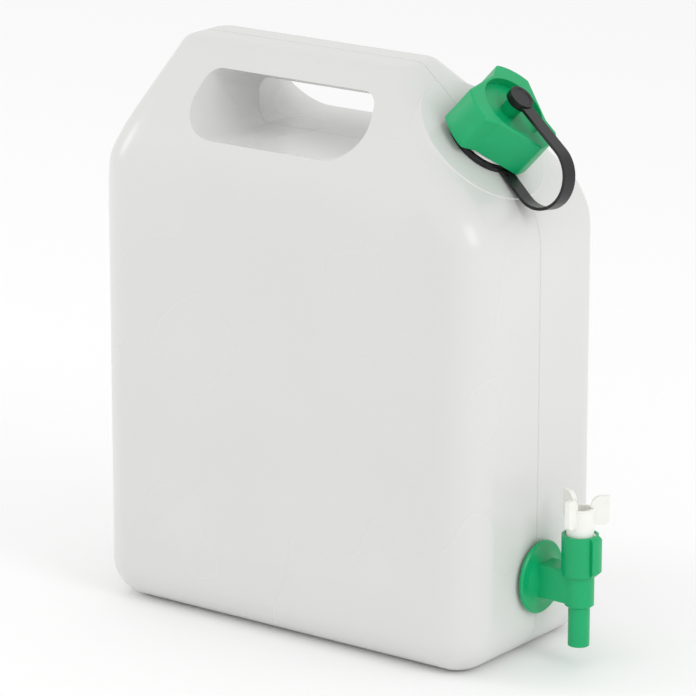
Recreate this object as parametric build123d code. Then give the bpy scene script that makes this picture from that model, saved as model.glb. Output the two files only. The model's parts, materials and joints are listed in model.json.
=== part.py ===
from build123d import *

# Flat ten-litre carboy with a screw cap on a strap and a quarter-turn tap.
# Millimetres. X runs along the can towards the tap, Y through its thickness, Z up.
# The origin is the middle of the flat base.

import os
from math import acos, atan2, cos, degrees, radians, sin, sqrt, tan

os.makedirs("parts", exist_ok=True)

# Can: outer form
body_len = 280.3
body_wid = 140.7
body_ht = 350.0
wall = 1.8
plan_r = 25.8
base_r = 23.6
crown_r = 12.0
crown_plan_r = 15.0
crown_wid = 42.5
tap_end_run, tap_end_drop = 84.75, 80.3
tap_end_round = 45.0
back_end_run, back_end_drop = 29.25, 70.7
back_end_round = 24.0
roof_drop = 65.0
roof_round = 80.0
section_step = 6.0

# Can: shallow pyramid panel on each broad face
panel_side_margin = 35.15
panel_low_margin = 45.0
panel_top_margin = 105.0
panel_floor_len = 94.0
panel_floor_ht = 94.0
panel_depth = 3.2

# Can: hand hole, narrow in the middle plane and wide at the roof faces
hand_tap_margin, hand_back_margin = 19.4, 44.9
hand_low_drop, hand_high_drop = 52.0, 24.0
hand_corner = 9.0
hand_flare_back, hand_flare_tap, hand_flare_up = 20.0, 18.0, 19.0
hand_mouth_y = 60.0
hand_mouth_corner = 30.0

# Neck on the slanted shoulder, heights measured along its axis from the shoulder plane
neck_from_crown = 59.0
platform_r = 44.0
platform_ht = 0.6
platform_skirt = 9.0
neck_r = 18.8
neck_bore_r = 16.2
neck_ht = 22.6
ring_seat_r = 19.9
bead_r = 22.6
bead_ht = 1.8
bead_round = 0.6

# Strap: ring round the neck, band in a loop, button on the cap's stud
ring_gap = 0.3
ring_wid = 4.7
ring_ht = 2.8
strap_angle = -10.0
band_wid = 9.2
band_thk = 1.9
loop_reach = 64.1
loop_round = 19.8
loop_low_rise = 4.0
loop_top_rise = 8.3
button_r = 7.8
button_ht = 4.6
button_lip = 1.2
button_gap = 0.3
button_rim = 1.2
button_dish = 0.6

# Cap
cap_gap = 0.5
cap_wings = 3
cap_wing_r = 31.0
cap_wing_end = 36.0
cap_flat = 22.1
cap_flat_angle = -51.0
cap_foot_r = 23.4
cap_foot_angle = 50.0
cap_bore_r = 20.4
cap_recess_r = 20.2
cap_recess_depth = 5.0
cap_top_thk = 2.0
cap_corner_r = 2.5
cap_edge_r = 0.8
seal_thk = 1.8
seal_gap = 0.4
stud_r = 5.5
stud_ht = 8.6
stud_neck_r = 3.4
stud_head_r = 4.6
stud_head_ht = 1.6

# Port for the tap in the end face
port_z = 50.0
port_r = 9.6
port_collar_wall = 3.0
port_collar_len = 12.0

# Tap body
gasket_thk = 1.8
gasket_r = 15.5
flange_r = 22.2
flange_thk = 3.0
flange_round = 1.0
hub_r = 17.0
hub_len = 3.0
spigot_gap = 0.3
spigot_len = 13.0
passage_r = 4.2
stub_wid = 17.0
stub_ht = 21.0
stub_round = 1.8
barrel_reach = 30.5
barrel_r = 11.0
barrel_top_z = 82.0
barrel_step_z = 57.5
lower_barrel_r = 8.8
lower_barrel_z = 38.5
nozzle_r = 6.45
nozzle_bore_r = 4.4
nozzle_z = 13.2
pad_angle = 44.0
pad_thk = 2.2
rim_bore_r = 9.5
rim_bore_depth = 9.0
stop_play = 3.0

# Key: plug, open stem and three-winged handle
key_gap = 0.06
plug_r = 7.1
plug_seat_z = 43.0
seat_gap = 0.3
plug_bore_r = 4.4
plug_bore_ht = 13.0
collar_thk = 2.0
stem_r = 8.2
stem_ht = 16.0
stem_lip = 0.5
stem_bore_r = 6.2
stem_bore_depth = 12.0
lug_angle = 30.0
lug_mid = 36.0
key_quarter = 90.0
wing_thk = 3.0
wing_reach = 17.0
wing_low_ht = 6.2
wing_top_ht = 23.7
wing_slope_reach = 12.6
wing_corner_r = 3.5

# Derived places on the can
tap_end_crown_x = body_len / 2 - tap_end_run
back_end_crown_x = body_len / 2 - back_end_run
tap_end_break_z = body_ht - tap_end_drop
back_end_break_z = body_ht - back_end_drop
roof_break_z = body_ht - roof_drop
panel_len = body_len - 2 * panel_side_margin
panel_ht = body_ht - panel_low_margin - panel_top_margin
panel_mid_z = panel_low_margin + panel_ht / 2
hand_x0 = hand_back_margin - back_end_crown_x
hand_x1 = tap_end_crown_x - hand_tap_margin
hand_z0 = body_ht - hand_low_drop
hand_z1 = body_ht - hand_high_drop


def wall_reach(z, low_reach, top_reach, break_z, round_r, inset):
    """Distance of a wall from the middle: upright, then slanted in, with a round shoulder."""
    lean = atan2(low_reach - top_reach, body_ht - break_z)
    reach = low_reach - inset
    corner_z = break_z - inset * tan(lean / 2)
    round_r = max(round_r - inset, wall)
    start_z = corner_z - round_r * tan(lean / 2)
    if z <= start_z:
        return reach
    if z <= start_z + round_r * sin(lean):
        return reach - round_r + sqrt(round_r ** 2 - (z - start_z) ** 2)
    return reach - (z - corner_z) * tan(lean)


def plan_section(z, inset):
    """Rounded rectangle that the can shows when cut level at height z."""
    tap_end = wall_reach(z, body_len / 2, tap_end_crown_x, tap_end_break_z, tap_end_round, inset)
    back_end = wall_reach(z, body_len / 2, back_end_crown_x, back_end_break_z,
                          back_end_round, inset)
    half_wid = wall_reach(z, body_wid / 2, crown_wid / 2, roof_break_z, roof_round, inset)
    rise = max(0.0, (z - tap_end_break_z) / (body_ht - tap_end_break_z))
    corner = plan_r + (crown_plan_r - plan_r) * rise - inset
    plane = Plane(origin=((tap_end - back_end) / 2, 0, z))
    return plane * RectangleRounded(tap_end + back_end, 2 * half_wid, corner)


def can_form(inset):
    """Closed outer form of the can, set in by a wall where the hollow is wanted."""
    straight_z = roof_break_z - roof_round / 2
    slanted_z = roof_break_z + roof_round / 2
    trunk = extrude(plan_section(inset, inset), straight_z - inset)
    trunk = fillet(trunk.edges().group_by(Axis.Z)[0], base_r - inset)
    steps = round((slanted_z - straight_z) / section_step)
    heights = [straight_z + (slanted_z - straight_z) * i / steps for i in range(steps + 1)]
    shoulder = loft([plan_section(z, inset) for z in heights])
    crown = loft([plan_section(z, inset) for z in (slanted_z, body_ht - inset)], ruled=True)
    crown = fillet(crown.edges().group_by(Axis.Z)[-1], crown_r - inset)
    return trunk + shoulder + crown


def panel(side, inset):
    """Shallow truncated pyramid sunk into one broad face."""
    face_y = side * (body_wid / 2 - inset)
    outward = Plane(origin=(0, face_y, panel_mid_z), x_dir=(1, 0, 0), z_dir=(0, side, 0))
    floor = outward.offset(-panel_depth) * Rectangle(panel_floor_len, panel_floor_ht)
    mouth = outward * Rectangle(panel_len, panel_ht)
    return loft([floor, mouth], ruled=True)


def hand_section(y, grow):
    """Rounded outline of the hand hole at depth y, in a plane square to Y."""
    part = abs(y) / hand_mouth_y
    x0 = hand_x0 - hand_flare_back * part - grow
    x1 = hand_x1 + hand_flare_tap * part + grow
    z0 = hand_z0 - grow
    z1 = hand_z1 + hand_flare_up * part + grow
    low = hand_corner + (hand_mouth_corner - hand_corner) * part + grow
    high = hand_corner + grow
    plane = Plane(origin=(0, y, 0), x_dir=(1, 0, 0), z_dir=(0, -1, 0))
    outline = FilletPolyline((x0, z0), (x1, z0), (x1, z1), (x0, z1),
                             radius=[low, low, high, high], close=True)
    return plane * make_face(outline)


def hand_hole(grow):
    """Hand hole through the can, flared to both roof faces."""
    reach = body_wid / 2 + wall
    middle = hand_section(0, grow)
    return (loft([hand_section(-reach, grow), middle], ruled=True)
            + loft([middle, hand_section(reach, grow)], ruled=True))


slope = atan2(body_ht - tap_end_break_z, body_len / 2 - tap_end_crown_x)
neck_x = tap_end_crown_x + neck_from_crown * cos(slope)
neck_z = body_ht - neck_from_crown * sin(slope)
neck_plane = Plane(origin=(neck_x, 0, neck_z), x_dir=(cos(slope), 0, -sin(slope)),
                   z_dir=(sin(slope), 0, cos(slope)))
ring_z = platform_ht + ring_gap
bead_z = ring_z + ring_ht + ring_gap
bead_top = bead_z + bead_ht
rim_z = platform_ht + neck_ht
cap_z = bead_top + cap_gap
cap_floor = rim_z + seal_thk + cap_top_thk
cap_top = cap_floor + cap_recess_depth
stud_top = cap_floor + stud_ht
button_z = stud_top + button_gap
head_z = button_z + button_lip + button_gap
ring_in_r = ring_seat_r + ring_gap
end_x = body_len / 2
flange_x = end_x + gasket_thk
tap_x = end_x + barrel_reach
spigot_r = port_r - spigot_gap
barrel_bore_r = plug_r + key_gap
rim_floor_z = barrel_top_z - rim_bore_depth
collar_r = rim_bore_r - seat_gap


def turned(*points):
    """Solid of revolution about the local Z axis from (radius, height) points."""
    half = Plane.XZ * make_face(Polyline(*points, close=True))
    return revolve(half, Axis.Z)


def neck():
    """Neck finish with its round platform, ring seat and bead, about its own axis."""
    return turned((0, -platform_skirt), (platform_r + platform_skirt / 2, -platform_skirt),
                  (platform_r, 0), (platform_r - platform_ht, platform_ht),
                  (ring_seat_r, platform_ht), (ring_seat_r, bead_z), (bead_r - bead_round, bead_z),
                  (bead_r, bead_z + bead_round), (bead_r - bead_round, bead_top),
                  (neck_r, bead_top), (neck_r, rim_z - bead_round), (neck_r - bead_round, rim_z),
                  (0, rim_z))


def can():
    """Blow-moulded can in one piece."""
    outer = can_form(0)
    hollow = can_form(wall)
    for side in (-1, 1):
        outer -= panel(side, 0)
        hollow -= panel(side, wall)
    outer -= hand_hole(0)
    hollow -= hand_hole(wall)
    into_can = Plane(origin=(end_x, 0, port_z), z_dir=(-1, 0, 0))
    from_face = (Align.CENTER, Align.CENTER, Align.MIN)
    collar = into_can * Cylinder(port_r + port_collar_wall, port_collar_len, align=from_face)
    port = into_can * Cylinder(port_r, 2 * port_collar_len)
    port += into_can * Cylinder(port_r, port_collar_len + wall, align=from_face)
    bore = neck_plane * Pos(0, 0, -2 * platform_skirt) * Cylinder(
        neck_bore_r, rim_z + 3 * platform_skirt, align=from_face)
    return outer + neck_plane * neck() - (hollow - collar) - port - bore


def polar(radius, turn):
    """Point at a radius, turned about the axis by degrees."""
    return (radius * cos(radians(turn)), radius * sin(radians(turn)))


def cap_outline():
    """Pinwheel outline: each wing is a flat that runs out, an arc and a step back in."""
    pitch = 360 / cap_wings
    rise = degrees(acos(cap_flat / cap_wing_r))
    edges = []
    for wing in range(cap_wings):
        tip_at = wing * pitch + cap_flat_angle + rise
        heel_at = wing * pitch + cap_wing_end
        foot_at = wing * pitch + cap_foot_angle
        foot = polar(cap_foot_r, foot_at - pitch)
        tip = polar(cap_wing_r, tip_at)
        crest = polar(cap_wing_r, (tip_at + heel_at) / 2)
        heel = polar(cap_wing_r, heel_at)
        next_foot = polar(cap_foot_r, foot_at)
        edges += [Line(foot, tip), ThreePointArc(tip, crest, heel), Line(heel, next_foot)]
    outline = make_face(Wire(edges))
    return fillet(outline.vertices(), cap_corner_r)


def cap():
    """Screw cap with three wings, a recessed top and a stud for the strap."""
    from_base = (Align.CENTER, Align.CENTER, Align.MIN)
    body = Pos(0, 0, cap_z) * extrude(cap_outline(), cap_top - cap_z)
    body = chamfer(body.edges().group_by(Axis.Z)[-1], cap_edge_r)
    body -= Pos(0, 0, cap_floor) * Cylinder(cap_recess_r, 2 * cap_recess_depth, align=from_base)
    body -= Cylinder(cap_bore_r, cap_floor - cap_top_thk, align=from_base)
    stud = turned((0, cap_floor - cap_top_thk), (stud_r, cap_floor - cap_top_thk),
                  (stud_r, stud_top), (stud_neck_r, stud_top), (stud_neck_r, head_z),
                  (stud_head_r, head_z), (stud_neck_r, head_z + stud_head_ht),
                  (0, head_z + stud_head_ht))
    return neck_plane * (body + stud)


def cap_seal():
    """Soft disc between the rim of the neck and the top of the cap."""
    disc = Cylinder(cap_bore_r - seal_gap, seal_thk, align=(Align.CENTER, Align.CENTER, Align.MIN))
    return neck_plane * Pos(0, 0, rim_z) * disc


def strap():
    """Moulded tether: ring, looped band and button in one piece."""
    ring = turned((ring_in_r, ring_z), (ring_in_r + ring_wid, ring_z),
                  (ring_in_r + ring_wid, ring_z + ring_ht), (ring_in_r, ring_z + ring_ht))
    low_h = ring_z + ring_ht / 2
    high_h = button_z + button_ht / 2
    start_r = ring_in_r + ring_wid / 2
    route = FilletPolyline((start_r, low_h), (loop_reach, low_h + loop_low_rise),
                           (loop_reach, high_h + loop_top_rise), (button_r / 2, high_h),
                           radius=loop_round)
    route = Plane.XZ * route
    start = Plane(origin=route @ 0, x_dir=(0, 1, 0), z_dir=route % 0)
    band = sweep(start * Rectangle(band_wid, band_thk), path=route)
    socket_z = button_z + button_lip
    socket_top = head_z + stud_head_ht + button_gap
    button_top = button_z + button_ht
    socket_r = stud_head_r + button_gap
    button = turned((0, button_z), (button_r, button_z), (button_r, button_top),
                    (button_r - button_rim, button_top),
                    (button_r - button_rim - button_dish, button_top - button_dish),
                    (0, button_top - button_dish))
    socket = turned((0, button_z), (stud_neck_r + button_gap, button_z),
                    (stud_neck_r + button_gap, socket_z), (socket_r, socket_z),
                    (socket_r, socket_top), (0, socket_top))
    return neck_plane * Rot(0, 0, strap_angle) * (ring + (band + button - socket))


def tap_body():
    """Moulded tap: threaded spigot, flange, square stub, barrel and nozzle."""
    out_of_can = Plane(origin=(flange_x, 0, port_z), z_dir=(1, 0, 0))
    flange = out_of_can * turned(
        (0, -spigot_len), (spigot_r, -spigot_len), (spigot_r, 0), (flange_r - flange_round, 0),
        (flange_r, flange_round), (flange_r, flange_thk - flange_round),
        (flange_r - flange_round, flange_thk), (hub_r, flange_thk),
        (stub_wid / 2, flange_thk + hub_len), (0, flange_thk + hub_len))
    stub_len = barrel_reach - gasket_thk
    stub = Pos(flange_x, 0, port_z) * Box(stub_len, stub_wid, stub_ht,
                                          align=(Align.MIN, Align.CENTER, Align.CENTER))
    stub = fillet(stub.edges().filter_by(Axis.X), stub_round)
    barrel = turned((0, nozzle_z), (nozzle_r, nozzle_z), (nozzle_r, lower_barrel_z - stub_round),
                    (lower_barrel_r, lower_barrel_z), (lower_barrel_r, barrel_step_z),
                    (barrel_r, barrel_step_z), (barrel_r, barrel_top_z), (0, barrel_top_z))
    pad = turned((0, barrel_step_z + pad_thk), (barrel_r, barrel_step_z),
                 (barrel_r + pad_thk, barrel_step_z + pad_thk),
                 (barrel_r + pad_thk, barrel_top_z - pad_thk), (barrel_r, barrel_top_z),
                 (0, barrel_top_z))
    pad &= sector(barrel_r + 2 * pad_thk, -pad_angle / 2, pad_angle / 2, 0, barrel_top_z)
    bores = turned((0, nozzle_z), (nozzle_bore_r, nozzle_z), (nozzle_bore_r, plug_seat_z),
                   (barrel_bore_r, plug_seat_z), (barrel_bore_r, rim_floor_z),
                   (rim_bore_r, rim_floor_z), (rim_bore_r, barrel_top_z), (0, barrel_top_z))
    free_half = lug_angle / 2 + stop_play
    stop = sector(barrel_r - seat_gap, lug_mid + key_quarter + free_half, lug_mid + 360 - free_half,
                  rim_floor_z + collar_thk + 2 * seat_gap, barrel_top_z - seat_gap)
    stop -= Cylinder(stem_r + seat_gap, 2 * barrel_top_z)
    passage = out_of_can * Pos(0, 0, -spigot_len) * Cylinder(
        passage_r, spigot_len + stub_len, align=(Align.CENTER, Align.CENTER, Align.MIN))
    at_barrel = Pos(tap_x, 0, 0)
    return flange + stub + at_barrel * (barrel + pad) - at_barrel * (bores - stop) - passage


def sector(radius, start, end, low_z, high_z):
    """Wedge of a disc between two angles and two heights."""
    middle = polar(radius, (start + end) / 2)
    rim = ThreePointArc(polar(radius, start), middle, polar(radius, end))
    outline = make_face([Line((0, 0), rim @ 0), rim, Line(rim @ 1, (0, 0))])
    return Pos(0, 0, low_z) * extrude(outline, high_z - low_z)


def tap_gasket():
    """Flat washer between the can and the flange."""
    ring = Cylinder(gasket_r, gasket_thk) - Cylinder(port_r, gasket_thk)
    return Pos(end_x + gasket_thk / 2, 0, port_z) * Rot(0, 90, 0) * ring


def key_wings():
    """Three upright wings on the open stem, each with a sloped inner shoulder."""
    low_z = barrel_top_z + wing_low_ht
    top_z = barrel_top_z + wing_top_ht
    seat_r = (stem_r + stem_bore_r) / 2
    rim_top_z = barrel_top_z + stem_ht
    outline = make_face([
        Polyline((wing_slope_reach, top_z), (wing_reach, top_z), (wing_reach, low_z),
                 (seat_r, low_z), (seat_r, rim_top_z + stem_lip), (stem_bore_r, rim_top_z + stem_lip)),
        TangentArc((wing_slope_reach, top_z), (stem_bore_r, rim_top_z + stem_lip), tangent=(-1, 0))])
    low_corner = outline.vertices().sort_by(Axis.Y)[:2].sort_by(Axis.X)[-1]
    outline = fillet(low_corner, wing_corner_r)
    wing = extrude(Plane.XZ * outline, wing_thk / 2, both=True)
    pitch = 360 / cap_wings
    turns = [Rot(0, 0, lug_mid + n * pitch) * wing for n in range(cap_wings)]
    return turns[0] + turns[1] + turns[2]


def tap_key():
    """Quarter-turn plug with an open stem and three wings, in the closed position."""
    plug_z = plug_seat_z + seat_gap
    rim_top_z = barrel_top_z + stem_ht
    collar_z = rim_floor_z + seat_gap
    body = turned((0, plug_z), (plug_r, plug_z), (plug_r, collar_z), (collar_r, collar_z),
                  (collar_r, collar_z + collar_thk), (stem_r, collar_z + collar_thk),
                  (stem_r, rim_top_z - 2 * stem_lip), (stem_r + stem_lip, rim_top_z - stem_lip),
                  (stem_r, rim_top_z), (0, rim_top_z))
    body -= Cylinder(plug_bore_r, 2 * (plug_z + plug_bore_ht))
    body -= Pos(0, 0, rim_top_z) * Cylinder(stem_bore_r, 2 * stem_bore_depth)
    window = Pos(0, 0, port_z) * Rot(-90, 0, 0) * Cylinder(
        passage_r, 2 * plug_r, align=(Align.CENTER, Align.CENTER, Align.MIN))
    lug = sector(collar_r, lug_mid - lug_angle / 2, lug_mid + lug_angle / 2,
                 collar_z, barrel_top_z - 2 * seat_gap)
    lug -= Cylinder(plug_r, 2 * barrel_top_z)
    return Pos(tap_x, 0, 0) * (body - window + lug + key_wings())


nodes = {"can": can, "cap": cap, "cap_seal": cap_seal, "strap": strap,
         "tap_body": tap_body, "tap_gasket": tap_gasket, "tap_key": tap_key}

for name, build in nodes.items():
    export_step(build(), f"parts/{name}.step")
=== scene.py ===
"""Flat carboy with a winged screw cap on a strap and a quarter-turn tap, dressed around its CAD model."""

import json
import logging
import math
from dataclasses import dataclass, field
from enum import Enum

import bmesh
import bpy
from mathutils import Matrix, Vector


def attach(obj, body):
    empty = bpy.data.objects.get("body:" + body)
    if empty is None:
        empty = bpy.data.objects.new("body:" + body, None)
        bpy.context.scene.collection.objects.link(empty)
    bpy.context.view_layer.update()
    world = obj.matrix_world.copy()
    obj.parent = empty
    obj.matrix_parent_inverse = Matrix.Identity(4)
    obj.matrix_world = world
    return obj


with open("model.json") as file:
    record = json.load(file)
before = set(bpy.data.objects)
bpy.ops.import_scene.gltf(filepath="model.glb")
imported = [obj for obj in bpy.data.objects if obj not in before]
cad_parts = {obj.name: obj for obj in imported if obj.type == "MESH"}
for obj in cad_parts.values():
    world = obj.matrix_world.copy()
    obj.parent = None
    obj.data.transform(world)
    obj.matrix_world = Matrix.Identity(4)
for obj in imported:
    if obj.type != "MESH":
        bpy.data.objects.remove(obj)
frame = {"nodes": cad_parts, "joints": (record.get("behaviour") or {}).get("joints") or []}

logging.basicConfig(level=logging.INFO, format="%(message)s")
log = logging.getLogger("carboy")

MM = 0.001
PHOTO_PX = 696


class Slot(str, Enum):
    """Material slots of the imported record."""

    POLYETHYLENE = "natural_polyethylene"
    GREEN = "green_plastic"
    BLACK = "black_plastic"
    WHITE = "white_plastic"
    FOAM = "seal_foam"
    RUBBER = "gasket_rubber"


def linear(hex_colour: str) -> tuple[float, float, float, float]:
    """Turn an sRGB hex colour into linear light.

    Args:
        hex_colour: Six hex digits, with or without a leading hash.

    Returns:
        Linear red, green, blue and an alpha of 1.
    """
    digits = hex_colour.lstrip("#")
    shares = [int(digits[i:i + 2], 16) / 255 for i in (0, 2, 4)]
    light = [s / 12.92 if s <= 0.04045 else ((s + 0.055) / 1.055) ** 2.4 for s in shares]
    return (*light, 1.0)


def add_node(tree: bpy.types.NodeTree, kind: str, settings: dict | None = None,
             links: dict | None = None) -> bpy.types.Node:
    """Add one shader node with its settings and its incoming links.

    Args:
        tree: Node tree of the material.
        kind: Blender's type name of the node.
        settings: Input sockets (by name or number) and node attributes to set.
        links: Input socket (by name or number) to the output socket that feeds it.

    Returns:
        The new node.
    """
    node = tree.nodes.new(kind)
    for name, value in (settings or {}).items():
        if isinstance(name, int) or name in node.inputs:
            node.inputs[name].default_value = value
        else:
            setattr(node, name, value)
    for name, source in (links or {}).items():
        tree.links.new(source, node.inputs[name])
    return node


def put_in_scene(name: str, data: bpy.types.ID) -> bpy.types.Object:
    """Make an object and link it to the scene.

    Args:
        name: Name of the object.
        data: Its mesh, light or camera.

    Returns:
        The new object, at the origin.
    """
    thing = bpy.data.objects.new(name, data)
    bpy.context.scene.collection.objects.link(thing)
    return thing


def finish_shape(name: str, shape: bmesh.types.BMesh) -> bpy.types.Object:
    """Turn a bmesh into an object of the scene, and free it.

    Args:
        name: Name of the object and its mesh.
        shape: The finished bmesh, in metres and in its place.

    Returns:
        The new object, at the origin.
    """
    mesh = bpy.data.meshes.new(name)
    shape.to_mesh(mesh)
    shape.free()
    return put_in_scene(name, mesh)


def shade_smooth(thing: bpy.types.Object) -> None:
    """Shade every face of a mesh object smoothly."""
    thing.data.polygons.foreach_set("use_smooth", [True] * len(thing.data.polygons))


def dress(thing: bpy.types.Object, material: bpy.types.Material) -> None:
    """Give an object one material in place of all it has.

    Args:
        thing: Object to dress.
        material: Material to give it.
    """
    thing.data.materials.clear()
    thing.data.materials.append(material)


@dataclass(frozen=True)
class Plastic:
    """A finish of plastic, foam or rubber: slow colour drift, uneven gloss and a fine skin.

    Attributes:
        name: Name of the material.
        colour: The lighter of the two colours that drift into each other.
        shade: The darker of the two.
        roughness: Roughness halfway through the drift.
        roughness_spread: How far the roughness goes up and down from there.
        ior: Index of refraction.
        mottle_mm: Size of a patch of colour.
        skin_mm: Size of a bump of the skin.
        skin_depth_mm: Height of such a bump.
        seam_mm: Half the width of the line between the mould's halves, or 0 for no line.
        seam_height_mm: Height of that line.
        specular: Strength of the shine.
        noise_low: Noise value, and those below it, that give the shade alone.
        noise_high: Noise value, and those above it, that give the colour alone.
        noise_roughness: Weight of the noise's finer layers.
        mottle_detail: Number of finer layers in the patches.
        skin_detail: Number of finer layers in the skin.
    """

    name: str
    colour: str
    shade: str
    roughness: float
    roughness_spread: float
    ior: float
    mottle_mm: float
    skin_mm: float
    skin_depth_mm: float
    seam_mm: float = 0.0
    seam_height_mm: float = 0.3
    specular: float = 0.4
    noise_low: float = 0.15
    noise_high: float = 0.85
    noise_roughness: float = 0.5
    mottle_detail: float = 1.0
    skin_detail: float = 2.0

    def seam(self, tree: bpy.types.NodeTree, place: bpy.types.Node,
             skin: bpy.types.Node) -> bpy.types.Node:
        """Raise the thin line that the two mould halves leave in the middle plane.

        Args:
            tree: Node tree of the material.
            place: Texture coordinates.
            skin: Bump node of the skin, which the line is added to.

        Returns:
            The bump node of skin and line together.
        """
        axes = add_node(tree, "ShaderNodeSeparateXYZ", links={0: place.outputs["Object"]})
        off = add_node(tree, "ShaderNodeMath", {"operation": "ABSOLUTE"}, {0: axes.outputs["Y"]})
        ridge = add_node(tree, "ShaderNodeMapRange",
                         {"interpolation_type": "SMOOTHSTEP", "From Min": 0.0,
                          "From Max": self.seam_mm * MM, "To Min": 1.0, "To Max": 0.0},
                         {"Value": off.outputs[0]})
        return add_node(tree, "ShaderNodeBump",
                        {"Strength": 1.0, "Distance": self.seam_height_mm * MM},
                        {"Height": ridge.outputs["Result"], "Normal": skin.outputs["Normal"]})

    def build(self) -> bpy.types.Material:
        """Make the node material.

        Returns:
            The material, on Object coordinates only.
        """
        material = bpy.data.materials.new(self.name)
        material.use_nodes = True
        tree = material.node_tree
        tree.nodes.clear()
        place = add_node(tree, "ShaderNodeTexCoord")
        mottle = add_node(tree, "ShaderNodeTexNoise",
                          {"Scale": 1 / (self.mottle_mm * MM), "Detail": self.mottle_detail,
                           "Roughness": self.noise_roughness},
                          {"Vector": place.outputs["Object"]})
        colours = add_node(tree, "ShaderNodeValToRGB", links={"Fac": mottle.outputs["Fac"]})
        stops = colours.color_ramp.elements
        stops[0].position = self.noise_low
        stops[0].color = linear(self.shade)
        stops[1].position = self.noise_high
        stops[1].color = linear(self.colour)
        gloss = add_node(tree, "ShaderNodeMapRange",
                         {"From Min": self.noise_low, "From Max": self.noise_high,
                          "To Min": self.roughness - self.roughness_spread,
                          "To Max": self.roughness + self.roughness_spread},
                         {"Value": mottle.outputs["Fac"]})
        skin = add_node(tree, "ShaderNodeTexNoise",
                        {"Scale": 1 / (self.skin_mm * MM), "Detail": self.skin_detail,
                         "Roughness": self.noise_roughness},
                        {"Vector": place.outputs["Object"]})
        bump = add_node(tree, "ShaderNodeBump",
                        {"Strength": 1.0, "Distance": self.skin_depth_mm * MM},
                        {"Height": skin.outputs["Fac"]})
        if self.seam_mm:
            bump = self.seam(tree, place, bump)
        shader = add_node(tree, "ShaderNodeBsdfPrincipled",
                          {"IOR": self.ior, "Metallic": 0.0, "Specular IOR Level": self.specular},
                          {"Base Color": colours.outputs["Color"],
                           "Roughness": gloss.outputs["Result"],
                           "Normal": bump.outputs["Normal"]})
        add_node(tree, "ShaderNodeOutputMaterial", links={"Surface": shader.outputs["BSDF"]})
        return material


# The skin that a steel mould leaves is about 0.1 mm fine. Where it is drawn at 0.4 to 0.6 mm, that is
# the coarseness it needs to break up a highlight in the render.

# Natural high-density polyethylene, blow-moulded: milky white with a waxy low gloss. Its skin is the
# slow unevenness of a wall blown against the mould, and a thin line runs where the halves met.
NATURAL_POLYETHYLENE = Plastic(
    "natural_polyethylene_blow_moulded", colour="#DCDCDA", shade="#D8D8D6",
    roughness=0.27, roughness_spread=0.04, ior=1.54,
    mottle_mm=90.0, skin_mm=6.0, skin_depth_mm=0.008, seam_mm=0.7)
# Green polyethylene, injection-moulded: even colour, satin sheen with faint flow marks.
GREEN_POLYETHYLENE = Plastic(
    "green_polyethylene_injection_moulded", colour="#00AC6C", shade="#00A464",
    roughness=0.36, roughness_spread=0.05, ior=1.52,
    mottle_mm=14.0, skin_mm=0.5, skin_depth_mm=0.004)
# Black low-density polyethylene, injection-moulded: deep colour, soft broad highlights.
BLACK_POLYETHYLENE = Plastic(
    "black_polyethylene_injection_moulded", colour="#1D1D1E", shade="#171718",
    roughness=0.28, roughness_spread=0.06, ior=1.51,
    mottle_mm=9.0, skin_mm=0.4, skin_depth_mm=0.005)
# White polypropylene, injection-moulded: a warm white with a clean, even gloss.
WHITE_POLYPROPYLENE = Plastic(
    "white_polypropylene_injection_moulded", colour="#F3F3EE", shade="#EFEFE9",
    roughness=0.3, roughness_spread=0.04, ior=1.49,
    mottle_mm=10.0, skin_mm=0.4, skin_depth_mm=0.003)
# Expanded polyethylene, cut from sheet: matt, with a closed-cell texture.
POLYETHYLENE_FOAM = Plastic(
    "expanded_polyethylene_sheet", colour="#EEEEEA", shade="#DEDEDA",
    roughness=0.75, roughness_spread=0.08, ior=1.4,
    mottle_mm=1.2, skin_mm=0.6, skin_depth_mm=0.08)
# Nitrile rubber, moulded: matt black with a dusty skin.
NITRILE_RUBBER = Plastic(
    "nitrile_rubber_moulded", colour="#1B1B1C", shade="#141415",
    roughness=0.7, roughness_spread=0.08, ior=1.5,
    mottle_mm=4.0, skin_mm=0.5, skin_depth_mm=0.02)


@dataclass
class CadParts:
    """The CAD nodes that keep their own shape and get a finish."""

    finishes: dict[str, tuple[Plastic, Slot]] = field(default_factory=lambda: {
        "can": (NATURAL_POLYETHYLENE, Slot.POLYETHYLENE),
        "cap": (GREEN_POLYETHYLENE, Slot.GREEN),
        "cap_seal": (POLYETHYLENE_FOAM, Slot.FOAM),
        "strap": (BLACK_POLYETHYLENE, Slot.BLACK),
        "tap_body": (GREEN_POLYETHYLENE, Slot.GREEN),
        "tap_gasket": (NITRILE_RUBBER, Slot.RUBBER),
        "tap_key": (WHITE_POLYPROPYLENE, Slot.WHITE),
    })
    weld_mm: float = 0.002
    crease_deg: float = 32.0

    def soften(self, thing: bpy.types.Object) -> None:
        """Shade a CAD node smoothly, and keep the edges sharp that turn by more than the crease.

        Args:
            thing: The CAD node's object.
        """
        shade_smooth(thing)
        weld = thing.modifiers.new("join_triangles", "WELD")
        weld.merge_threshold = self.weld_mm * MM
        split = thing.modifiers.new("sharp_edges", "EDGE_SPLIT")
        split.split_angle = math.radians(self.crease_deg)

    def build(self) -> list[bpy.types.Object]:
        """Dress every CAD node.

        Returns:
            The dressed objects.
        """
        made: dict[str, bpy.types.Material] = {}
        dressed = []
        for node, (finish, slot) in self.finishes.items():
            thing = frame["nodes"][node]
            if finish.name not in made:
                made[finish.name] = finish.build()
            dress(thing, made[finish.name])
            self.soften(thing)
            dressed.append(thing)
        return dressed


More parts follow.
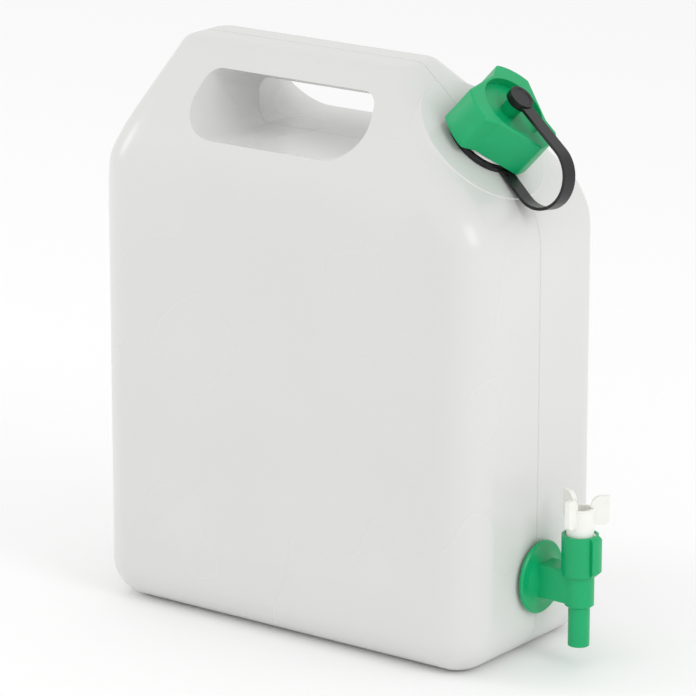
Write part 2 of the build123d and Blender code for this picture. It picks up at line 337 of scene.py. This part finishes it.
@dataclass
class NeckThread:
    """The coarse screw thread on the neck, which the CAD solid leaves out.

    Radii are measured from the axis that the cap turns on, and heights along it from the joint's place.
    """

    joint: str = "cap_turn"
    root_mm: float = 18.5
    crest_mm: float = 20.1
    half_root_mm: float = 1.3
    half_crest_mm: float = 0.5
    start_mm: float = 10.5
    lead_mm: float = 5.0
    turns: float = 1.9
    steps_a_turn: int = 64
    rounding_mm: float = 0.25
    rounding_steps: int = 2

    def onto_neck(self) -> Matrix:
        """Work out the turn and the place of the neck from the cap's joint.

        Returns:
            The matrix that takes an upright shape at the origin to the neck.
        """
        joint = next(j for j in frame["joints"] if j["name"] == self.joint)
        up = Vector(joint["axis"])
        side = Vector((0.0, 1.0, 0.0))
        turn = Matrix((side.cross(up), side, up)).transposed().to_4x4()
        return Matrix.Translation(joint["pos_m"]) @ turn

    def build(self) -> bpy.types.Object:
        """Spin one tooth section up the neck.

        Returns:
            The thread, riding on the can.
        """
        shape = bmesh.new()
        corners = ((self.root_mm, -self.half_root_mm), (self.crest_mm, -self.half_crest_mm),
                   (self.crest_mm, self.half_crest_mm), (self.root_mm, self.half_root_mm))
        tooth = [shape.verts.new((r * MM, 0.0, (self.start_mm + h) * MM)) for r, h in corners]
        section = shape.faces.new(tooth)
        steps = round(self.steps_a_turn * self.turns)
        bmesh.ops.spin(shape, geom=[section, *section.edges, *section.verts], cent=(0, 0, 0),
                       axis=(0, 0, 1), dvec=(0, 0, self.lead_mm * self.turns * MM / steps),
                       angle=math.tau * self.turns, steps=steps, use_duplicate=False)
        bmesh.ops.holes_fill(shape, edges=[e for e in shape.edges if e.is_boundary])
        bmesh.ops.recalc_face_normals(shape, faces=shape.faces)
        shape.transform(self.onto_neck())
        thread = finish_shape("neck_thread", shape)
        shade_smooth(thread)
        rounding = thread.modifiers.new("soft_edges", "BEVEL")
        rounding.width = self.rounding_mm * MM
        rounding.segments = self.rounding_steps
        dress(thread, frame["nodes"]["can"].data.materials[0])
        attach(thread, "can")
        return thread


@dataclass(frozen=True)
class Lamp:
    """One soft square light: its name, its place and side in metres, and its power in watts."""

    name: str
    at: tuple[float, float, float]
    side_m: float
    watts: float


@dataclass
class Studio:
    """Plain pale floor, soft lights and the camera of the photograph."""

    camera_at: tuple[float, float, float] = (1.5322, -2.0649, 0.8996)
    camera_right: tuple[float, float, float] = (0.80307, 0.59588, 0.0)
    camera_up: tuple[float, float, float] = (-0.16163, 0.21783, 0.96251)
    lens_mm: float = 228.9
    sensor_mm: float = 36.0
    shift_px: tuple[float, float] = (1.1, -13.6)
    sight_m: float = 100.0
    floor_m: float = 30.0
    floor_colour: str = "#FDFDFD"
    floor_roughness: float = 0.9
    sky: float = 0.91
    aim: tuple[float, float, float] = (0.0, 0.0, 0.17)
    lamps: tuple[Lamp, ...] = (Lamp("key_light", (2.0, -0.4, 1.3), 0.9, 9.0),
                               Lamp("side_light", (-2.2, -1.1, 1.2), 0.8, 9.0))

    def floor(self) -> None:
        """Lay the floor under the can."""
        shape = bmesh.new()
        bmesh.ops.create_grid(shape, x_segments=1, y_segments=1, size=self.floor_m / 2)
        floor = finish_shape("studio_floor", shape)
        material = bpy.data.materials.new("studio_paper")
        material.use_nodes = True
        shader = material.node_tree.nodes["Principled BSDF"]
        shader.inputs["Base Color"].default_value = linear(self.floor_colour)
        shader.inputs["Roughness"].default_value = self.floor_roughness
        dress(floor, material)

    def hang(self, lamp: Lamp) -> None:
        """Add one soft light that looks at the can.

        Args:
            lamp: The light to add.
        """
        light = bpy.data.lights.new(lamp.name, "AREA")
        light.size = lamp.side_m
        light.energy = lamp.watts
        holder = put_in_scene(lamp.name, light)
        holder.location = lamp.at
        holder.rotation_mode = "QUATERNION"
        holder.rotation_quaternion = (Vector(self.aim) - Vector(lamp.at)).to_track_quat("-Z", "Y")

    def lights(self) -> None:
        """Set the world, the soft lights and the view transform."""
        world = bpy.data.worlds.new("studio_sky")
        world.use_nodes = True
        background = world.node_tree.nodes["Background"]
        background.inputs["Color"].default_value = (1.0, 1.0, 1.0, 1.0)
        background.inputs["Strength"].default_value = self.sky
        bpy.context.scene.world = world
        for lamp in self.lamps:
            self.hang(lamp)
        # Blender's default transform would turn the white can grey.
        bpy.context.scene.view_settings.view_transform = "Standard"

    def camera(self) -> None:
        """Stand the camera where the photograph was taken from."""
        lens = bpy.data.cameras.new("photo_camera")
        lens.sensor_width = self.sensor_mm
        lens.lens = self.lens_mm
        lens.shift_x = self.shift_px[0] / PHOTO_PX
        lens.shift_y = self.shift_px[1] / PHOTO_PX
        lens.clip_end = self.sight_m
        holder = put_in_scene("photo_camera", lens)
        right, up = Vector(self.camera_right), Vector(self.camera_up)
        turn = Matrix((right, up, right.cross(up))).transposed()
        holder.matrix_world = Matrix.Translation(self.camera_at) @ turn.to_4x4()
        bpy.context.scene.camera = holder


def main() -> None:
    """Build the part and the studio in order."""
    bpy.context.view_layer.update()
    studio = Studio()
    studio.camera()
    studio.floor()
    studio.lights()
    for thing in CadParts().build():
        log.info("dressed %s", thing.name)
    log.info("built %s", NeckThread().build().name)


if __name__ == "__main__":
    main()
